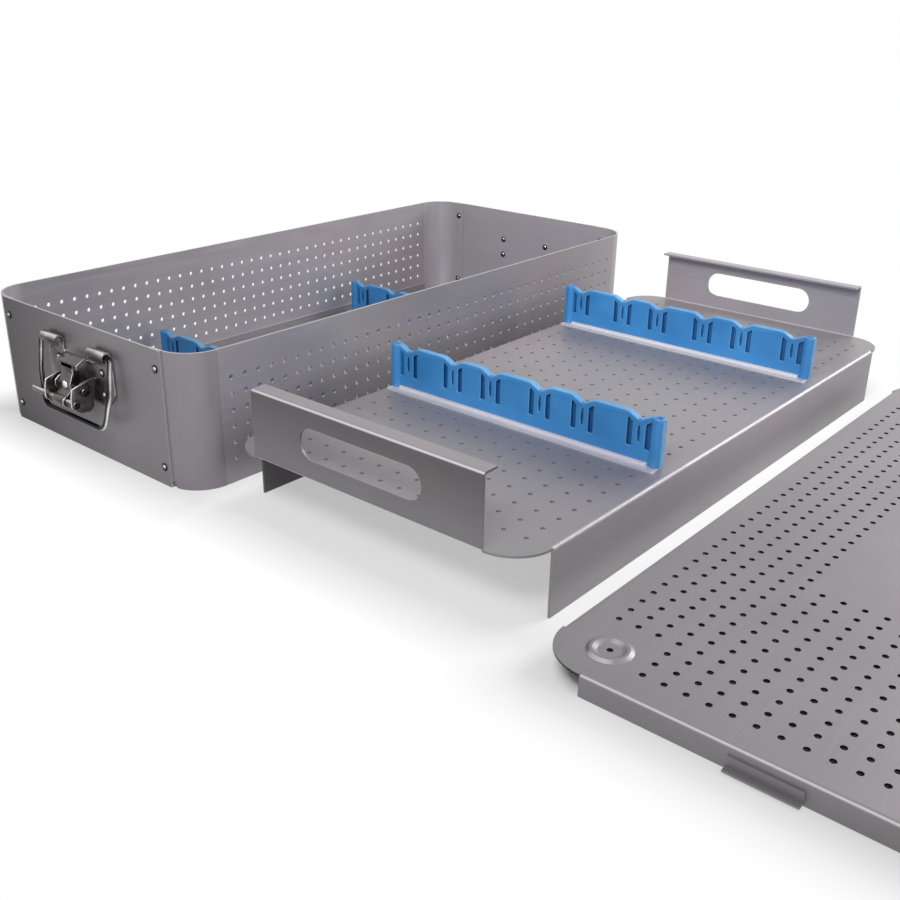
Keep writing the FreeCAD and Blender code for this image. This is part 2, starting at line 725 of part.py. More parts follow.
def lid_holes():
    """The hole grid with a blank panel in the middle and blank cells around the corner dimples."""
    reach_x = float(lid_half_length - s.lid_end_margin)
    reach_y = float(lid_half_width - s.lid_side_margin)
    columns, rows = grid(-reach_x, reach_x, s.lid_pitch), grid(-reach_y, reach_y, s.lid_pitch)
    corner_cells = int(float(s.lid_corner_cells))
    blank_x, blank_y = int(float(s.lid_blank_columns)), int(float(s.lid_blank_rows))
    radius = float(s.lid_hole) / 2
    holes = []
    for i, x in enumerate(columns):
        for j, y in enumerate(rows):
            from_end = min(i, len(columns) - 1 - i)
            from_side = min(j, len(rows) - 1 - j)
            in_corner = from_end < corner_cells and from_side < corner_cells
            in_panel = from_end >= blank_x and from_side >= blank_y
            if not in_corner and not in_panel:
                holes.append((x, y, radius))
    return holes


def dimple():
    """A raised ring with a drain hole in its sunk middle, pressed in the lid's sheet."""
    sheet, rise, reach = float(s.lid_sheet), float(s.dimple_rise), float(s.dimple_radius)
    hole = float(s.lid_hole) / 2
    top = [(reach, sheet), (reach - 2.2, sheet + rise), (reach - 3.6, sheet + rise), (reach - 6.2, sheet),
           (hole, sheet)]
    under = [(x, z - sheet) for x, z in top[::-1]]
    spots = [Vector(x, 0, z) for x, z in top + under]
    return Part.Face(Part.makePolygon(spots + spots[:1])).revolve(Vector(), Vector(0, 0, 1), 360)


def lid_plate():
    length, width = float(lid_half_length), float(lid_half_width)
    radius, bend = float(s.lid_corner), float(lid_bend)
    outline = []
    for index, (x, y) in enumerate(((1, 1), (-1, 1), (-1, -1), (1, -1))):
        order = [(x * (length - bend), y * (width - radius), 0), (x * length, y * (width - radius), 0),
                 (x * length, y * width, radius - 0.01), (x * (length - radius), y * width, 0),
                 (x * (length - radius), y * (width - bend), 0)]
        outline += order if index % 2 == 0 else order[::-1]
    spots = [(x * (length - float(s.dimple_end_inset)), y * (width - float(s.dimple_side_inset)))
             for x in (-1, 1) for y in (-1, 1)]
    holes = lid_holes() + [(x, y, float(s.dimple_radius)) for x, y in spots]
    sheet = slab(rounded_wire(outline), holes, s.lid_sheet)
    for x, y in spots:
        boss = dimple()
        boss.translate(Vector(x, y, 0))
        sheet = sheet.fuse(boss)
    sheet.translate(Vector(0, 0, float(s.lid_depth - s.lid_sheet)))
    made("lid_plate", sheet, lid_place)


def lid_flange(name, turn, reach, half):
    """One edge of the lid bent down, between the round corners."""
    path = [(reach, 0), (reach, s.lid_depth), (reach - lid_bend, s.lid_depth)]
    strip = bent_strip(path, s.lid_sheet, 2 * half, s.bend_radius)
    strip.translate(Vector(0, 0, -float(half)))
    strip.Placement = Placement(Vector(), Rotation(Vector(1, 0, 0), 90)) * strip.Placement
    made(name, strip, lid_place * Placement(Vector(), Rotation(Vector(0, 0, 1), turn)))


def lid_catch(name, turn):
    """The small catch on the lid's end edge that the latch hook pulls down on."""
    face = lid_half_length
    rise = 8
    path = [(face + s.catch_reach, s.lid_sheet), (face, s.lid_sheet), (face, rise)]
    strip = bent_strip(path, -s.lid_sheet, 2 * s.catch_half, s.bend_radius)
    strip.translate(Vector(0, 0, -float(s.catch_half + s.latch_offset)))
    strip.Placement = Placement(Vector(), Rotation(Vector(1, 0, 0), 90)) * strip.Placement
    made(name, strip, lid_place * Placement(Vector(), Rotation(Vector(0, 0, 1), turn)))


side_wall("side_wall_left", 1)
side_wall("side_wall_right", -1)
for end, along in (("near", -1), ("far", 1)):
    for hand, side in (("left", 1), ("right", -1)):
        corner(f"{end}_{hand}_corner", along, side)
    end_plate(end)
    spots = [(y, z) for y in (-rivet_side, rivet_side) for z in rivet_heights]
    rivet_group(end + "_end_rivets", end_place(end), spots, -2 * s.sheet, 0)
    latch_base(end)
    spots = [(y, z) for y in (-s.latch_rivet_side, s.latch_rivet_side)
             for z in (s.latch_rivet_low, s.latch_rivet_high)]
    rivet_group(end + "_latch_rivets", latch_place(end), spots, -s.sheet, s.latch_sheet)
    latch_pin(end)
    latch_lever(end)
    finger_rod(end)
    latch_hook(end)
    drop_handle(end)
    rail_and_holder(f"box_{end}_rail", f"box_{end}_holder", along * s.box_holder_x, 0, s.floor_sheet)
box_floor()

tray_floor()
tray_leg("tray_leg_left", 1)
tray_leg("tray_leg_right", -1)
tray_handle("tray_handle_near", -1)
tray_handle("tray_handle_far", 1)
for end, place in (("near", s.tray_near_holder), ("far", s.tray_far_holder)):
    rail_and_holder(f"tray_{end}_rail", f"tray_{end}_holder", s.tray_near_end + place,
                    s.tray_right_side + tray_half_width + s.tray_holder_offset, s.tray_deck)

lid_plate()
lid_flange("lid_flange_far", 0, lid_half_length, lid_half_width - s.lid_corner)
lid_flange("lid_flange_left", 90, lid_half_width, lid_half_length - s.lid_corner)
lid_flange("lid_flange_near", 180, lid_half_length, lid_half_width - s.lid_corner)
lid_flange("lid_flange_right", 270, lid_half_width, lid_half_length - s.lid_corner)
lid_catch("lid_catch_far", 0)
lid_catch("lid_catch_near", 180)

doc.recompute()
for obj in doc.Objects:
    if "Invalid" in obj.State or "Error" in obj.State:
        raise RuntimeError(f"{obj.Label} failed: {obj.State}")
for obj in nodes:
    if obj.Shape.isNull() or not obj.Shape.isValid() or not obj.Shape.Solids:
        raise RuntimeError(f"{obj.Label} has no valid solid")

os.makedirs("parts", exist_ok=True)
for obj in nodes:
    obj.Shape.exportStep(f"parts/{obj.Label}.step")
    box = obj.Shape.BoundBox
    print(f"{obj.Label:20s} solids {len(obj.Shape.Solids):3d}  volume {obj.Shape.Volume / 1000:8.2f} cm3  "
          f"X {box.XMin:.1f}..{box.XMax:.1f}  Y {box.YMin:.1f}..{box.YMax:.1f}  "
          f"Z {box.ZMin:.1f}..{box.ZMax:.1f}")
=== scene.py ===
"""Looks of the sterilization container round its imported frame: places in metres, outlines in mm."""
import math

import bpy
import bmesh
from mathutils import Matrix, Vector


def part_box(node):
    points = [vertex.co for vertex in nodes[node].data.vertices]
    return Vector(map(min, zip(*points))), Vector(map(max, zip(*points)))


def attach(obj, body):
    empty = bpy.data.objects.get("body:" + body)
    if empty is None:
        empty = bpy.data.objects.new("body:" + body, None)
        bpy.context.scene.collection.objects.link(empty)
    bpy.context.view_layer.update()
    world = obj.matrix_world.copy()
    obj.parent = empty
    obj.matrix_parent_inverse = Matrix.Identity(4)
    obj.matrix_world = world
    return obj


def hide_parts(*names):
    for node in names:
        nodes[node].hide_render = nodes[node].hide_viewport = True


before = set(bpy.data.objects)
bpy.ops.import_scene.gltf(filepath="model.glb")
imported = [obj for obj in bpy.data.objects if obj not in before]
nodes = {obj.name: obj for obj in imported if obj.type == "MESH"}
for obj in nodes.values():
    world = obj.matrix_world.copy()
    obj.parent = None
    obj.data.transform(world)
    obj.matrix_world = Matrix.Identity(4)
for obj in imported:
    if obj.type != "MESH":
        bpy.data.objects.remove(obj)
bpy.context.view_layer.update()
scene = bpy.context.scene
MM = 0.001


# Camera, light and floor

FLOOR_FADE = 0.045      # from the object to where the floor is plain white
FLOOR_GLOW = 0.45       # share of plain white right beside the object
LID_ROUND = 0.03        # corner radius of the dark patch under the lid


def make_camera():
    """The photograph's camera: lens, place and turn come from the hole grids and sheet edges seen in it."""
    place = (-0.664284, -0.685271, 0.325309)
    right = Vector((0.649144, -0.760554, 0.013038)).normalized()
    up = Vector((0.295081, 0.267580, 0.917239)).normalized()
    turn = Matrix((right, up, right.cross(up))).transposed().to_4x4()
    data = bpy.data.cameras.new("camera")
    data.sensor_width = 36
    data.lens = 42.877
    data.clip_end = 100
    camera = bpy.data.objects.new("camera", data)
    scene.collection.objects.link(camera)
    camera.matrix_world = Matrix.Translation(place) @ turn
    scene.camera = camera


def area_light(name, place, target, width, height, power, spread=180):
    data = bpy.data.lights.new(name, "AREA")
    data.shape = "RECTANGLE"
    data.size, data.size_y = width, height
    data.energy = power
    data.spread = math.radians(spread)
    light = bpy.data.objects.new(name, data)
    light.location = place
    light.rotation_euler = (Vector(target) - Vector(place)).to_track_quat("-Z", "Y").to_euler()
    scene.collection.objects.link(light)


def seen_directly(tree):
    """1 for camera, glossy and transmission rays, 0 for the rays that light the object."""
    paths = tree.nodes.new("ShaderNodeLightPath")
    total = paths.outputs["Is Camera Ray"]
    for name in ("Is Glossy Ray", "Is Transmission Ray"):
        add = tree.nodes.new("ShaderNodeMath")
        add.operation = "ADD"
        add.use_clamp = True
        tree.links.new(total, add.inputs[0])
        tree.links.new(paths.outputs[name], add.inputs[1])
        total = add.outputs[0]
    return total


def make_world(level):
    """A white room: plain white where it is seen, and of a set level where it lights the object."""
    world = bpy.data.worlds.new("studio")
    scene.world = world
    world.use_nodes = True
    tree = world.node_tree
    background = tree.nodes["Background"]
    background.inputs["Color"].default_value = (1, 1, 1, 1)
    strength = tree.nodes.new("ShaderNodeMapRange")
    strength.inputs["To Min"].default_value = level
    strength.inputs["To Max"].default_value = 1
    tree.links.new(seen_directly(tree), strength.inputs["Value"])
    tree.links.new(strength.outputs[0], background.inputs["Strength"])


def distance_from(look, node, inset=0.0):
    """Distance on the floor from a node's outline, which is drawn in by the inset."""
    low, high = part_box(node)
    middle = ((low[0] + high[0]) / 2, (low[1] + high[1]) / 2, 0)
    half = ((high[0] - low[0]) / 2 - inset, (high[1] - low[1]) / 2 - inset, 0)
    value = look.place
    steps = (("SUBTRACT", middle), ("ABSOLUTE", None), ("SUBTRACT", half), ("MAXIMUM", (0, 0, 0)))
    for operation, other in steps:
        step = look.node("VectorMath", {0: value}, operation=operation)
        if other:
            step.inputs[1].default_value = other
        value = step.outputs[0]
    return look.node("VectorMath", {0: value}, operation="LENGTH").outputs["Value"]


def make_floor():
    """A plain white floor: shaded at and under the object, turning to plain white a little way off."""
    reach, drop = 40, 0.0002
    corners = [(-reach, -reach, 0), (reach, -reach, 0), (reach, reach, 0), (-reach, reach, 0)]
    mesh = bpy.data.meshes.new("floor")
    mesh.from_pydata(corners, [], [(0, 1, 2, 3)])
    floor = bpy.data.objects.new("floor", mesh)
    floor.location.z = -drop
    scene.collection.objects.link(floor)
    look = Look("floor", (0.95, 0.95, 0.95), 0, 0.9)
    look.shader.inputs["Specular IOR Level"].default_value = 0.1
    nearest = reach
    for node in ("floor_plate", "tray_floor", "lid_plate"):
        nearest = look.maths("MINIMUM", distance_from(look, node), nearest)
    away = look.spread(nearest, FLOOR_GLOW, 1, 0, FLOOR_FADE)
    # the lid lies close above the floor, which stays dark under it
    from_lid = distance_from(look, "lid_plate", LID_ROUND)
    away = look.maths("MULTIPLY", away, look.spread(from_lid, 0, 1, LID_ROUND * 0.7, LID_ROUND))
    share = look.maths("MULTIPLY", seen_directly(look.tree), away)
    glow = look.node("Emission", {"Color": (1, 1, 1, 1)})
    mix = look.node("MixShader", {0: share, 1: look.shader.outputs[0], 2: glow.outputs[0]})
    look.tree.links.new(mix.outputs[0], look.tree.nodes["Material Output"].inputs["Surface"])
    mesh.materials.append(look.material)


# Materials

class Look:
    """A material under construction: nodes added with their inputs, joined to one Principled shader."""

    def __init__(self, name, colour, metallic, roughness):
        self.material = bpy.data.materials.new(name)
        self.material.use_nodes = True
        self.tree = self.material.node_tree
        self.shader = self.tree.nodes["Principled BSDF"]
        self.shader.inputs["Base Color"].default_value = (*colour, 1)
        self.shader.inputs["Metallic"].default_value = metallic
        self.shader.inputs["Roughness"].default_value = roughness
        self.place = self.tree.nodes.new("ShaderNodeTexCoord").outputs["Object"]

    def node(self, kind, inputs=(), **settings):
        made = self.tree.nodes.new("ShaderNode" + kind)
        for name, value in settings.items():
            setattr(made, name, value)
        for name, value in dict(inputs).items():
            if isinstance(value, bpy.types.NodeSocket):
                self.tree.links.new(value, made.inputs[name])
            else:
                made.inputs[name].default_value = value
        return made

    def maths(self, operation, first, second=0.0, **settings):
        return self.node("Math", {0: first, 1: second}, operation=operation, **settings).outputs[0]

    def noise(self, scale, detail=3, stretch=(1, 1, 1), rough=0.5):
        mapped = self.node("Mapping", {"Vector": self.place, "Scale": stretch}).outputs[0]
        inputs = {"Vector": mapped, "Scale": scale, "Detail": detail, "Roughness": rough}
        return self.node("TexNoise", inputs).outputs["Fac"]

    def spread(self, value, low, high, start=0.3, end=0.7):
        """A value between start and end, carried to low and high and held there outside them."""
        inputs = {"Value": value, "From Min": start, "From Max": end, "To Min": low, "To Max": high}
        return self.node("MapRange", inputs).outputs[0]

    def ramp(self, value, stops):
        """Colour by value; stops are (place, colour)."""
        made = self.node("ValToRGB", {"Fac": value})
        elements = made.color_ramp.elements
        while len(elements) < len(stops):
            elements.new(0.5)
        for element, (place, colour) in zip(elements, stops):
            element.position = place
            element.color = (*colour, 1)
        return made.outputs["Color"]

    def blend(self, kind, first, second, factor=1.0):
        made = self.node("Mix", data_type="RGBA", blend_type=kind)
        for socket, value in ((made.inputs[0], factor), (made.inputs[6], first), (made.inputs[7], second)):
            if isinstance(value, bpy.types.NodeSocket):
                self.tree.links.new(value, socket)
            else:
                socket.default_value = value
        return made.outputs[2]

    def scaled(self, colour, share):
        return self.node("VectorMath", {0: colour, "Scale": share}, operation="SCALE").outputs[0]

    def facing(self, axis, sharp=0.9):
        """1 where the surface faces along one axis, 0 elsewhere."""
        parts = self.node("SeparateXYZ", {"Vector": self.node("NewGeometry").outputs["True Normal"]})
        return self.maths("GREATER_THAN", self.maths("ABSOLUTE", parts.outputs[axis]), sharp)

    def along(self, axis):
        """Place along one axis of the frame."""
        return self.node("SeparateXYZ", {"Vector": self.place}).outputs[axis]

    def bend(self, runs_along, above=None):
        """1 on the crest of bends that run along an axis; below a given height, only on their underside."""
        normal = self.node("NewGeometry").outputs["True Normal"]
        parts = self.node("SeparateXYZ", {"Vector": normal}).outputs
        largest = 0.0
        for part in parts:
            largest = self.maths("MAXIMUM", self.maths("ABSOLUTE", part), largest)
        end_on = self.facing(runs_along, 0.3)
        crest = self.maths("SUBTRACT", self.spread(largest, 1, 0, 0.78, 0.92), end_on, use_clamp=True)
        if above is None:
            return crest
        high = self.maths("GREATER_THAN", self.along("Z"), above)
        under = self.maths("LESS_THAN", parts["Z"])
        return self.maths("MULTIPLY", crest, self.maths("MAXIMUM", high, under))

    def facing_inward(self):
        """1 on the surfaces that face the middle of the box, 0 on its outside."""
        flat = self.node("VectorMath", {0: self.place, 1: (1, 1, 0)}, operation="MULTIPLY").outputs[0]
        normal = self.node("NewGeometry").outputs["True Normal"]
        dot = self.node("VectorMath", {0: normal, 1: flat}, operation="DOT_PRODUCT").outputs["Value"]
        return self.maths("LESS_THAN", dot)

    def towards(self, direction):
        """How far the surface of the piece faces a direction of its own, from -1 to 1."""
        normal = self.node("TexCoord").outputs["Normal"]
        return self.node("VectorMath", {0: normal, 1: direction}, operation="DOT_PRODUCT").outputs["Value"]

    def bump(self, height, strength, distance, normal=None):
        made = self.node("Bump", {"Height": height, "Strength": strength, "Distance": distance})
        if normal:
            self.tree.links.new(normal, made.inputs["Normal"])
        return made.outputs[0]

    def into(self, name, value):
        self.tree.links.new(value, self.shader.inputs[name])


GREY = (0.31, 0.292, 0.307)
RIM = (0.5, 0.49, 0.5)
PAINTED_HIGHLIGHT = (0.66, 0.65, 0.66)
METAL_SHARE = 0.5


def anodised(name, grain_along, tone=1.0, roughness=(0.36, 0.46), rim="", bend=None, bend_above=None,
             inside_painted_light=None, shade=None, dimple_highlight=False, hole_wall_painted_shade=None, grey=GREY):
    """Satin anodised sheet: grain along one axis, clouding, handling marks, bare rims, and painted light
    and shade.

    rim names the axes that cut edges face, and bend the axis that a bend runs along, whose crest gets a
    painted highlight; below bend_above only the bend's underside gets it.
    inside_painted_light lightens the side towards the middle of the box as painted light, and
    hole_wall_painted_shade is the colour of hole walls, painted shade. dimples puts a painted highlight on
    dimple sides that face -X.
    shade is (axis, start, end, first, last): painted light and shade whose tone runs from first to last
    between two places.
    """
    grey = tuple(channel * tone for channel in grey)
    look = Look(name, grey, METAL_SHARE, roughness[0])
    stretch = [60, 60, 60]
    stretch["XYZ".index(grain_along)] = 1.6
    streaks = look.noise(14, 4, stretch, 0.6)
    cloud = look.noise(5, 3)
    marks = look.noise(26, 5, rough=0.7)
    tint = [tuple(channel * share for channel, share in zip(grey, shares))
            for shares in ((0.92, 0.9, 0.94), (1.0, 1.0, 1.0), (1.08, 1.05, 1.06))]
    base = look.ramp(cloud, [(0.34, tint[0]), (0.5, tint[1]), (0.66, tint[2])])
    fine = look.ramp(streaks, [(0.3, (0.92, 0.92, 0.92)), (0.7, (1.0, 1.0, 1.0))])
    colour = look.blend("MULTIPLY", base, fine)
    # painted light and shade: the tone runs along an axis, and faces that look up keep theirs
    if shade:
        axis, start, end, first, last = shade
        share = look.spread(look.along(axis), first, last, start, end)
        colour = look.scaled(colour, look.maths("MAXIMUM", share, look.facing("Z", 0.5)))
    # faces towards the middle of the box are lightened as painted light
    if inside_painted_light:
        colour = look.scaled(colour, look.spread(look.facing_inward(), 1.0, inside_painted_light, 0, 1))
    for axis in rim:
        colour = look.blend("MIX", colour, (*RIM, 1), look.facing(axis))
    # painted highlight on the crest of bends
    if bend:
        colour = look.blend("MIX", colour, (*PAINTED_HIGHLIGHT, 1), look.bend(bend, bend_above))
    if dimple_highlight:
        # painted highlight on the dimple sides that face -X
        slope_highlight = look.spread(look.towards((-1, 0, 0)), 0, 0.65, 0.36, 0.48)
        colour = look.blend("MIX", colour, (*PAINTED_HIGHLIGHT, 1), slope_highlight)
    # upright faces, hole walls most of all, take a darker colour as painted shade
    if hole_wall_painted_shade:
        colour = look.blend("MIX", (*hole_wall_painted_shade, 1), colour, look.facing("Z", 0.3))
    look.into("Base Color", colour)
    look.into("Roughness", look.maths("ADD", look.spread(marks, 0, 0.06), look.spread(streaks, *roughness)))
    blasted = look.noise(2600, 1)
    grain = look.bump(streaks, 0.12, 0.00004)
    look.into("Normal", look.bump(blasted, 0.1, 0.00003, grain))
    return look.material


def polished(name, dark, light, roughness, painted_light_from=(-0.25, -0.5, 0.83), steps=(0.45, 0.64, 0.86)):
    """Polished metal: painted light on the side that faces a given way, painted shade on the other, finely
    scratched.
    """
    look = Look(name, light, 1.0, roughness)
    cloud = look.noise(90, 4)
    scratches = look.noise(60, 3, (30, 2, 30), 0.6)
    look.into("Roughness", look.spread(cloud, roughness * 0.7, roughness * 1.5))
    # painted light: lighter towards one direction, with a random spread
    shifted = look.maths("ADD", look.spread(cloud, -0.15, 0.15), look.towards(painted_light_from))
    middle = tuple(low + (high - low) * 0.2 for low, high in zip(dark, light))
    unit = look.spread(shifted, 0, 1, -1, 1)
    look.into("Base Color", look.ramp(unit, list(zip(steps, (dark, middle, light)))))
    look.into("Normal", look.bump(scratches, 0.12, 0.00005))
    return look.material


def blue_plastic(name, tones):
    """Moulded plastic: faint clouding, fine grain, uneven gloss."""
    roughness = (0.3, 0.44)
    look = Look(name, tones[1], 0.0, roughness[0])
    cloud = look.noise(22, 3)
    look.into("Base Color", look.ramp(cloud, [(0.35, tones[0]), (0.5, tones[1]), (0.66, tones[2])]))
    look.into("Roughness", look.spread(look.noise(60, 4), *roughness))
    look.into("Normal", look.bump(look.noise(1500, 2), 0.15, 0.00004))
    return look.material


# the gradients along an axis, lighter insides and dark hole walls set below are painted light and shade
wall_right = anodised("wall_right", "X", rim="Z", inside_painted_light=1.4, shade=("X", -0.24, -0.06, 1.2, 0.88))
wall_left = anodised("wall_left", "X", rim="Z", inside_painted_light=1.35)
corner = anodised("box_corner", "Z", rim="Z", inside_painted_light=1.5)
near_plate = anodised("near_plate", "Y", rim="ZY", inside_painted_light=1.2, shade=("Y", -0.04, 0.1, 0.86, 0.25))
far_plate = anodised("far_plate", "Y", rim="ZY", inside_painted_light=1.5)
flange_x = anodised("floor_flange", "X", rim="Z")
deck = anodised("deck", "X", hole_wall_painted_shade=(0.26, 0.25, 0.26))
leg = anodised("leg", "X", tone=0.95, shade=("X", 0.0, 0.25, 1.0, 0.84))
# the left leg is darkened all over as painted shade, standing for the shade under the tray
leg_left = anodised("leg_left", "X", tone=0.45)
near_handle = anodised("near_handle", "Y", bend="Y", bend_above=0.07, shade=("Z", 0.05, 0.086, 0.72, 0.4))
# the far handle is lightened all over as painted light
far_handle = anodised("far_handle", "Y", tone=1.32, bend="Y", bend_above=0.07)
lid_sheet = anodised("lid_sheet", "X", tone=0.92, dimple_highlight=True, hole_wall_painted_shade=(0.02, 0.02, 0.02))
lid_side = anodised("lid_side", "X", bend="X")
lid_end = anodised("lid_end", "Y", bend="Y")
rail_look = anodised("rail_aluminium", "Y", roughness=(0.3, 0.4), grey=(0.72, 0.71, 0.74))

# the near black on the side of polished steel turned from its painted light is painted shade
PAINTED_SHADE_STEEL = (0.012, 0.011, 0.011)
rivet_look = polished("rivet_aluminium", (0.05, 0.048, 0.05), (0.5, 0.49, 0.5), 0.25)
# the near black rivet ring is a painted shadow gap round each dome
rivet_shadow_ring = polished("rivet_shadow_ring", (0.015, 0.015, 0.015), (0.04, 0.04, 0.04), 0.4)
steel = polished("latch_steel", PAINTED_SHADE_STEEL, (0.65, 0.63, 0.62), 0.16,
                 painted_light_from=(-0.1, -0.35, 0.93), steps=(0.52, 0.74, 0.95))
steel_wire = polished("latch_steel_wire", PAINTED_SHADE_STEEL, (0.8, 0.78, 0.77), 0.14,
                      painted_light_from=(0.1, -0.85, -0.5), steps=(0.56, 0.72, 0.9))
# the latch's base and faces are darkened as a painted dark reflection, and its edge steel is a painted
# highlight
steel_base = polished("latch_steel_base", (0.08, 0.075, 0.076), (0.3, 0.285, 0.285), 0.3)
steel_face = polished("latch_steel_face", (0.03, 0.028, 0.027), (0.14, 0.133, 0.13), 0.22)
steel_highlight = polished("latch_steel_edge", (0.2, 0.195, 0.19), (0.9, 0.88, 0.87), 0.18)

blue = blue_plastic("blue_plastic", ((0.028, 0.185, 0.455), (0.034, 0.207, 0.5), (0.044, 0.235, 0.55)))
# the edge blue is lighter as a painted highlight on tops, bevels and cut edges
blue_edge_highlight = blue_plastic("blue_plastic_edge_highlight", ((0.07, 0.25, 0.5), (0.09, 0.29, 0.55), (0.12, 0.34, 0.6)))
# the inside blue is darker as painted shade in slits, linings and lens fillers
blue_painted_shade = blue_plastic("blue_plastic_painted_shade",
                         ((0.005, 0.07, 0.21), (0.007, 0.085, 0.25), (0.01, 0.1, 0.29)))

LOOKS = {
    "side_wall_right": wall_right, "side_wall_left": wall_left, "near_end_plate": near_plate,
    "far_end_plate": far_plate, "floor_plate": deck, "tray_floor": deck, "tray_handle_near": near_handle,
    "tray_handle_far": far_handle, "lid_plate": lid_sheet, "tray_leg_left": leg_left,
}


def look_for(name):
    """The material of a node that keeps its shape."""
    if name in LOOKS:
        return LOOKS[name]
    for word, look in (("_rail", rail_look), ("rivets", rivet_look), ("holder", blue), ("corner", corner),
                       ("floor_flange", flange_x), ("tray_leg", leg), ("lid_flange_near", lid_end),
                       ("lid_flange_far", lid_end), ("catch", lid_end)):
        if word in name:
            return look
    return lid_side


# Mesh building

def rounded(corners, closed=True):
    """Points along an outline of (x, y, radius) corners, with an arc of that radius at each corner."""
    points = []
    for index, (x, y, radius) in enumerate(corners):
        spot = Vector((x, y))
        end_of_path = not closed and index in (0, len(corners) - 1)
        if radius == 0 or end_of_path:
            points.append(tuple(spot))
            continue
        back = (Vector(corners[index - 1][:2]) - spot).normalized()
        ahead = (Vector(corners[(index + 1) % len(corners)][:2]) - spot).normalized()
        half_angle = back.angle(ahead) / 2
        start = spot + back * (radius / math.tan(half_angle))
        centre = spot + (back + ahead).normalized() * (radius / math.sin(half_angle))
        sweep = math.pi - 2 * half_angle
        turn = sweep if back.cross(ahead) < 0 else -sweep
        steps = max(2, round(sweep / math.radians(12)))
        for step in range(steps + 1):
            arm = Matrix.Rotation(turn * step / steps, 2) @ (start - centre)
            points.append(tuple(centre + arm))
    return points


def from_curve(curve):
    """The mesh of a curve, which is then removed."""
    carrier = bpy.data.objects.new("carrier", curve)
    scene.collection.objects.link(carrier)
    graph = bpy.context.evaluated_depsgraph_get()
    mesh = bpy.data.meshes.new_from_object(carrier.evaluated_get(graph))
    bpy.data.objects.remove(carrier)
    bpy.data.curves.remove(curve)
    return mesh


def area_of(points):
    return sum(a[0] * b[1] - b[0] * a[1] for a, b in zip(points, points[1:] + points[:1])) / 2


def plate(outline, thickness, edge, holes=()):
    """A flat plate in the XY plane, its middle at z = 0, with rounded edges and holes."""
    curve = bpy.data.curves.new("plate", "CURVE")
    curve.dimensions = "2D"
    curve.fill_mode = "BOTH"
    curve.extrude = (thickness / 2 - edge) * MM
    curve.bevel_depth = edge * MM
    curve.bevel_resolution = 2
    curve.offset = -edge * MM
    for index, points in enumerate([outline, *holes]):
        points = list(points)
        if (area_of(points) > 0) == (index > 0):
            points.reverse()
        spline = curve.splines.new("POLY")
        spline.points.add(len(points) - 1)
        for point, (x, y) in zip(spline.points, points):
            point.co = (x * MM, y * MM, 0, 1)
        spline.use_cyclic_u = True
    mesh = from_curve(curve)
    for face in mesh.polygons:
        face.material_index = 0 if abs(face.normal.z) > 0.99 else 1
    return mesh


def wire(points, radius):
    """A round wire through (x, y, z) points."""
    curve = bpy.data.curves.new("wire", "CURVE")
    curve.dimensions = "3D"
    curve.bevel_depth = radius * MM
    curve.bevel_resolution = 6
    curve.use_fill_caps = True
    spline = curve.splines.new("POLY")
    spline.points.add(len(points) - 1)
    for point, spot in zip(spline.points, points):
        point.co = (*(value * MM for value in spot), 1)
    return from_curve(curve)


def lathe(profile, steps=32):
    """A body turned about Z from (radius, z) points, closed at points on the axis."""
    bm = bmesh.new()
    rings = []
    for radius, z in profile:
        if radius == 0:
            rings.append([bm.verts.new((0, 0, z * MM))])
            continue
        rings.append([bm.verts.new((radius * MM * math.cos(turn), radius * MM * math.sin(turn), z * MM))
                      for turn in (2 * math.pi * step / steps for step in range(steps))])
    for low, high in zip(rings, rings[1:]):
        for step in range(steps):
            ahead = (step + 1) % steps
            if len(low) == 1:
                bm.faces.new((low[0], high[step], high[ahead])[::-1])
            elif len(high) == 1:
                bm.faces.new((low[step], low[ahead], high[0]))
            else:
                bm.faces.new((low[step], low[ahead], high[ahead], high[step]))
    bmesh.ops.recalc_face_normals(bm, faces=bm.faces)
    mesh = bpy.data.meshes.new("lathe")
    bm.to_mesh(mesh)
    bm.free()
    return mesh


def rod(radius, length, edge):
    """A rod along Z from z = 0 with rounded ends."""
    profile = [(0, 0)]
    for step in range(4):
        turn = math.pi / 2 * step / 3
        profile.append((radius - edge + edge * math.sin(turn), edge - edge * math.cos(turn)))
    return lathe(profile + [(r, length - z) for r, z in profile[::-1]])


def moved(mesh, matrix):
    mesh.transform(matrix)
    return mesh


def at(x, y, z):
    return Matrix.Translation((x * MM, y * MM, z * MM))


ACROSS = Matrix(((1, 0, 0, 0), (0, 0, -1, 0), (0, 1, 0, 0), (0, 0, 0, 1)))     # plate x, y to X, Z
UPRIGHT = Matrix(((0, 0, 1, 0), (1, 0, 0, 0), (0, 1, 0, 0), (0, 0, 0, 1)))     # plate x, y to Y, Z
ALONG_Y = Matrix.Rotation(math.radians(-90), 4, "X")                          # a rod's Z to Y


def section(outline, low, high, edge, holes=()):
    """An outline in X and Z carried along Y from low to high."""
    return moved(plate(outline, high - low, edge, holes), at(0, (low + high) / 2, 0) @ ACROSS)


def strip(outline, low, high, edge, holes=()):
    """A section of bent strip: material 0 on its broad sides, 1 on its cut edges."""
    mesh = section(outline, low, high, edge, holes)
    for face in mesh.polygons:
        face.material_index = 0 if abs(face.normal.y) < 0.1 else 1
    return mesh


def circle(x, y, radius, steps=24):
    return [(x + radius * math.cos(turn), y + radius * math.sin(turn))
            for turn in (2 * math.pi * step / steps for step in range(steps))]


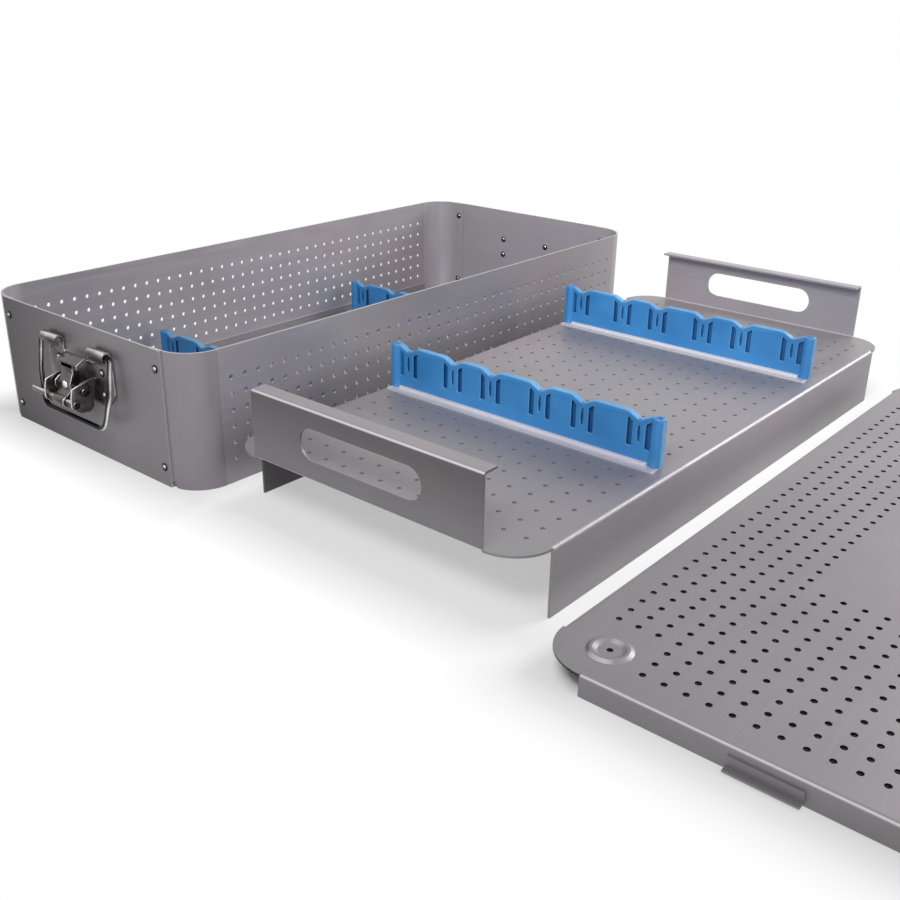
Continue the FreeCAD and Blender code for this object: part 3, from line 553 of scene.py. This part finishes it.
def piece(name, meshes, body, replaced, materials):
    """Join pairs of mesh and material number into one piece that rides a body and stands for nodes."""
    bm = bmesh.new()
    for mesh, number in meshes:
        first = len(bm.faces)
        bm.from_mesh(mesh)
        bm.faces.ensure_lookup_table()
        for face in bm.faces[first:]:
            face.material_index += number
            face.smooth = True
        bpy.data.meshes.remove(mesh)
    bmesh.ops.remove_doubles(bm, verts=bm.verts, dist=1e-7)
    joined = bpy.data.meshes.new(name)
    bm.to_mesh(joined)
    bm.free()
    joined.set_sharp_from_angle(angle=math.radians(40))
    for material in materials:
        joined.materials.append(material)
    made = bpy.data.objects.new(name, joined)
    scene.collection.objects.link(made)
    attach(made, body)
    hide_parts(*replaced)


# The latch and the handle, in a frame with x outward from the end plate and y from the latch's middle

LATCH_OFFSET = 3
SHEET = 1.5
PIN = (11, 54)
PIN_RADIUS = 2
ROD = (19, 46.2)
ROD_RADIUS = 2.25
PIVOT = (4.3, 83)
EAR_SIDE = 13.2
CHEEK_SIDE = 16.5


def latch_frame(end):
    low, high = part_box(end + "_end_plate")
    if end == "far":
        return Matrix.Translation((high[0], 0, 0)) @ at(0, LATCH_OFFSET, 0)
    turned = Matrix.Translation((low[0], 0, 0)) @ Matrix.Rotation(math.pi, 4, "Z")
    return turned @ at(0, LATCH_OFFSET, 0)


def placed(meshes, matrix):
    return [(moved(mesh, matrix), 0) for mesh in meshes]


def make_base(end):
    """Base sheet with two tabs curled round the handle's ends and two ears for the pin."""
    foot, shoulder, bridge, foot_half, half = 43, 54, 74, 31, 41.5
    inner, outer, curl, bore = 20, 40.5, 4.2, 2.35
    side = [(foot_half, foot, 3), (half, shoulder, 4), (half, bridge, 1.5), (outer, bridge, 0),
            (outer, PIVOT[1], 0), (inner, PIVOT[1], 0), (inner, bridge, 2)]
    outline = rounded(side + [(-y, z, r) for y, z, r in side[::-1]])
    meshes = [moved(plate(outline, SHEET, 0.25), at(SHEET / 2, 0, 0) @ UPRIGHT)]
    first_turn, last_turn, steps = math.radians(-75), math.radians(205), 30
    turns = [first_turn + (last_turn - first_turn) * step / steps for step in range(steps + 1)]
    rim = [(PIVOT[0] + radius * math.cos(turn), PIVOT[1] + radius * math.sin(turn))
           for radius, order in ((curl, 1), (bore, -1)) for turn in turns[::order]]
    for low in (inner, -outer):
        curl_mesh = section(rim, low, low + outer - inner, 0.3)
        # material 1 on the curl's flat ends, 2 on its round side
        for face in curl_mesh.polygons:
            face.material_index = 2 if face.material_index else 1
        meshes.append(curl_mesh)
    x, z = PIN
    ear = rounded([(0, z - 8, 0), (x, z - 6, 3), (x + 4.5, z - 2, 3), (x + 4.5, z + 3, 3), (x, z + 6, 3),
                   (0, z + 8, 0)])
    for low in (EAR_SIDE, -EAR_SIDE - SHEET):
        meshes.append(section(ear, low, low + SHEET, 0.2))
    piece(end + "_base", placed(meshes, latch_frame(end)), "box", [end + "_latch_base"],
          [steel_base, steel_highlight, steel])


def make_lever(end):
    """Two cheeks with rounded edges and the scooped web between their lower edges."""
    x, z = PIN
    cheek = rounded([(x - 3, z + 8, 2), (x - 7, z, 3), (x - 6.5, z - 12, 3), (x - 3, z - 15.5, 3),
                     (x + 5, z - 14.7, 3), (x + 8.5, z - 12.5, 3), (x + 11.6, z - 9.5, 3),
                     (x + 11.3, z - 2, 3), (x + 9.7, z + 4.5, 1)])
    holes = [circle(x, z, PIN_RADIUS + 0.1), circle(*ROD, ROD_RADIUS + 0.05)]
    meshes = [section(cheek, low, low + SHEET, 0.3, holes) for low in (CHEEK_SIDE, -CHEEK_SIDE - SHEET)]
    web = rounded([(x - 6.5, z - 12, 2.5), (x - 3, z - 15.5, 2.5), (x + 5, z - 14.7, 0),
                   (x + 4.4, z - 13.2, 0), (x - 2.4, z - 13.9, 1.2), (x - 5.4, z - 10.9, 0)])
    web_mesh = moved(strip(web, -CHEEK_SIDE, CHEEK_SIDE, 0.2), latch_frame(end))
    piece(end + "_lever", placed(meshes, latch_frame(end)) + [(web_mesh, 2)], end + "_lever",
          [end + "_latch_lever"], [steel_base, steel_highlight, steel_face, steel_highlight])


def make_rod(end):
    """The finger rod, which stands out on one side, with a collar outside each cheek."""
    stub, collar, reach = 38.6, 0.9, CHEEK_SIDE + SHEET + 1.2
    meshes = [moved(rod(ROD_RADIUS, stub + reach, 0.5), at(ROD[0], -stub, ROD[1]) @ ALONG_Y)]
    for low in (-reach, reach - collar):
        meshes.append(moved(rod(ROD_RADIUS + 0.6, collar, 0.3), at(ROD[0], low, ROD[1]) @ ALONG_Y))
    piece(end + "_rod", placed(meshes, latch_frame(end)), end + "_lever", [end + "_finger_rod"],
          [steel])


def make_pin(end):
    """The lever's pin with a head outside each cheek."""
    head, head_radius, reach = 1, 3.2, CHEEK_SIDE + SHEET + 0.3
    meshes = [moved(rod(PIN_RADIUS, 2 * reach, 0.3), at(PIN[0], -reach, PIN[1]) @ ALONG_Y)]
    for low in (-reach - head, reach):
        meshes.append(moved(rod(head_radius, head, 0.4), at(PIN[0], low, PIN[1]) @ ALONG_Y))
    piece(end + "_pin", placed(meshes, latch_frame(end)), "box", [end + "_latch_pin"],
          [steel])


def make_hook(end):
    """The hook: a curled eye on the rod, a strap with a pressed boss, and a wide roof-shaped head."""
    x, z = ROD
    face, strap, brow, tip, top, lip = 12.5, 15.7, 73, 4, 77.5, 3.6
    half, head_half, eye = 7, 13, 4.05
    meshes = [strip(circle(x, z, eye), -half, half, 0.3, [circle(x, z, ROD_RADIUS + 0.1)])]
    neck = rounded([(x - 1.8, z + 2.8, 0), (x + 0.2, z + 3.6, 0), (strap, z + 7.4, 3), (strap, z + 12, 4),
                    (face, z + 20, 4), (face, brow - 1, 0), (face - SHEET, brow - 1, 0),
                    (face - SHEET, z + 19.6, 3), (strap - SHEET, z + 11.6, 3), (strap - SHEET, z + 6.6, 2)])
    meshes.append(strip(neck, -half, half, 0.25))
    head = rounded([(face - SHEET, brow - lip, 0), (face, brow - lip, 0), (face, brow, 1.2),
                    (tip, top, 1.2), (tip, top - lip, 0), (tip + SHEET, top - lip, 0),
                    (tip + SHEET, top - 2.5, 0), (face - SHEET, brow - 0.9, 0)])
    meshes.append(strip(head, -head_half, head_half, 0.25))
    boss = lathe([(3.4, 0), (3.2, 0.5), (2.5, 0.9), (1.4, 1.15), (0, 1.25)])
    for polygon in boss.polygons:
        polygon.material_index = 1
    meshes.append(moved(boss, at(strap - 0.2, 0, z + 10.2) @ Matrix.Rotation(math.radians(90), 4, "Y")))
    piece(end + "_hook_strap", placed(meshes, latch_frame(end)), end + "_hook", [end + "_latch_hook"],
          [steel_face, steel_highlight])


def make_handle(end):
    """The drop handle: one bent wire whose ends sit in the curled tabs."""
    half, waist, waist_half, foot, foot_half, tilt = 44.5, 27, 45, 53, 39, 7.7
    tail, radius = 21, 2
    side = [(tail, 0, 0), (half, 0, 3.5), (waist_half, -waist, 20), (foot_half, -foot, 9)]
    path = rounded(side + [(-y, z, r) for y, z, r in side[::-1]], closed=False)
    mesh = wire([(0, y, z) for y, z in path], radius)
    hang = at(PIVOT[0], 0, PIVOT[1]) @ Matrix.Rotation(math.radians(-tilt), 4, "Y")
    piece(end + "_handle_wire", placed([mesh], latch_frame(end) @ hang), end + "_handle", [end + "_bail"],
          [steel_wire])


# Rivets: a dome inside a pressed ring whose near black is a painted shadow gap, on both faces of the sheets
# that they hold

RIVET_HEAD = 3
RIVET_RISE = 1.6
RIVET_BACK_RISE = 1.2


def make_rivets(end, group):
    node = f"{end}_{group}"
    low, high = (Vector(corner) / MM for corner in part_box(node))
    outward = -1 if end == "near" else 1
    outer, inner = (low.x, high.x) if end == "near" else (high.x, low.x)
    ring = [(0, 0), (RIVET_HEAD, 0), (RIVET_HEAD, 0.35), (2.5, 0.6), (2.1, 0.35), (1.9, 0.3)]
    dome = [(0, 0.1), (2.0, 0.2), (1.95, 0.6), (1.6, 1.05), (0.9, 1.45), (0, RIVET_RISE)]
    meshes = []
    for y in (low.y + RIVET_HEAD, high.y - RIVET_HEAD):
        for z in (low.z + RIVET_HEAD, high.z - RIVET_HEAD):
            for place, side, rise in ((outer - outward * RIVET_RISE, outward, RIVET_RISE),
                                      (inner + outward * RIVET_BACK_RISE, -outward, RIVET_BACK_RISE)):
                turn = Matrix.Rotation(side * math.radians(90), 4, "Y")
                squash = Matrix.Diagonal((1, 1, rise / RIVET_RISE, 1))
                for profile, number in ((ring, 0), (dome, 1)):
                    meshes.append((moved(lathe(profile), at(place, y, z) @ turn @ squash), number))
    piece(node + "_heads", meshes, "box", [node], [rivet_shadow_ring, rivet_look])


# The instrument holders, in a frame whose origin is on the sheet below the holder's middle

def make_holder(node, body):
    """Notched strip with blind slits: a slotted front, a closed back, linings and slit walls in painted
    shade, rounded end posts.
    """
    length, thick, height, base, depth = 232, 5, 34.5, 1.2, 3
    notch, notch_half, low, high, width, spacing, post = 4.5, 8.8, 11.5, 31, 3.8, 6.8, 9
    half = length / 2
    groups = (-98.9, -55.8, -21.3, 21.3, 55.8, 98.9)
    outline = [(-half, base, 1), (half, base, 1), (half, height, 2.5)]
    for place in groups[::-1]:
        outline += [(place + notch_half, height, 8), (place, height - notch, 2.5),
                    (place - notch_half, height, 8)]
    outline.append((-half, height, 2.5))
    outline = rounded(outline)
    slits = []
    for place in groups:
        for side in (-1, 1):
            inner, outer = (place + side * (spacing + shift) for shift in (-width / 2, width / 2))
            slits.append(rounded([(inner, low, 0.7), (outer, low, 0.7), (outer, high, 0.7),
                                  (inner, high - width * 0.8, 0.7)]))
        waist, lens = (low + high) / 2, width / 3
        slits.append(rounded([(place, low - 0.5, 0.6), (place + lens, waist, 6), (place, high - 0.5, 0.6),
                              (place - lens, waist, 6)]))
    # the plate's x becomes -Y here, so that its front looks towards -X
    stand = Matrix(((0, 0, -1, 0), (-1, 0, 0, 0), (0, 1, 0, 0), (0, 0, 0, 1)))
    front = plate(outline, depth, 0.45, slits)
    for face in front.polygons:
        across, rise = face.center.x / MM, face.center.y / MM
        beside = min(abs(across - place) for place in groups)
        in_slit = low - 0.5 < rise < high + 0.5 and beside < spacing + width
        # slit walls take the inside blue, painted shade
        if abs(face.normal.z) < 0.5 and in_slit:
            face.material_index = 2
    moved(front, at(-thick / 2 + depth / 2, 0, 0) @ stand)
    back = moved(plate(outline, thick - depth + 0.6, 0.3), at(depth / 2 - 0.3, 0, 0) @ stand)
    wide, bottom, top = half - 5, low - 2, high - 1
    # a lining of inside blue behind the slits is painted shade
    lining = plate([(-wide, bottom), (wide, bottom), (wide, top), (-wide, top)], 0.5, 0.1)
    moved(lining, at(depth - thick / 2 - 0.4, 0, 0) @ stand)
    meshes = [(front, 0), (back, 0), (lining, 2)]
    # a plate of inside blue fills the back of each lens slit, painted shade for its depth
    for lens in slits[2::3]:
        filler = plate(lens, 1.8, 0.1)
        meshes.append((moved(filler, at(-thick / 2 + depth - 0.9, 0, 0) @ stand), 2))
    radius, edge = post / 2, 1.2
    profile = [(radius - 0.2, base), (radius, base + 0.2)]
    for step in range(5):
        turn = math.pi / 2 * step / 4
        profile.append((radius - edge + edge * math.cos(turn), height - edge + edge * math.sin(turn)))
    for side in (-1, 1):
        end_post = lathe([(0, base)] + profile + [(0, height)])
        meshes.append((moved(end_post, at(0, side * (half - radius), 0)), 0))
    corner_low, corner_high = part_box(node)
    middle = [(a + b) / 2 for a, b in zip(corner_low, corner_high)]
    place = Matrix.Translation((middle[0], middle[1], corner_low[2])) @ at(0, 0, -base)
    meshes = [(moved(mesh, place), number) for mesh, number in meshes]
    piece(node + "_strip", meshes, body, [node], [blue, blue_edge_highlight, blue_painted_shade, blue_painted_shade])


make_camera()
make_world(level=0.25)
area_light("right", (2.2, -1.2, 1.2), (0, -0.2, 0), width=1.6, height=1.2, power=46)
area_light("side", (0.0, -2.4, 1.0), (0, -0.2, 0), width=2.0, height=1.0, power=12)
area_light("inner", (-0.7, -0.5, 0.8), (0.3, -0.15, 0.06), width=0.5, height=0.4, power=1.6, spread=60)
make_floor()

for end in ("near", "far"):
    make_base(end)
    make_lever(end)
    make_rod(end)
    make_pin(end)
    make_hook(end)
    make_handle(end)
    make_rivets(end, "end_rivets")
    make_rivets(end, "latch_rivets")
    make_holder(f"box_{end}_holder", "box")
    make_holder(f"tray_{end}_holder", "tray")

for name, node in nodes.items():
    node.data.materials.clear()
    node.data.materials.append(look_for(name))

scene.view_settings.view_transform = "Standard"
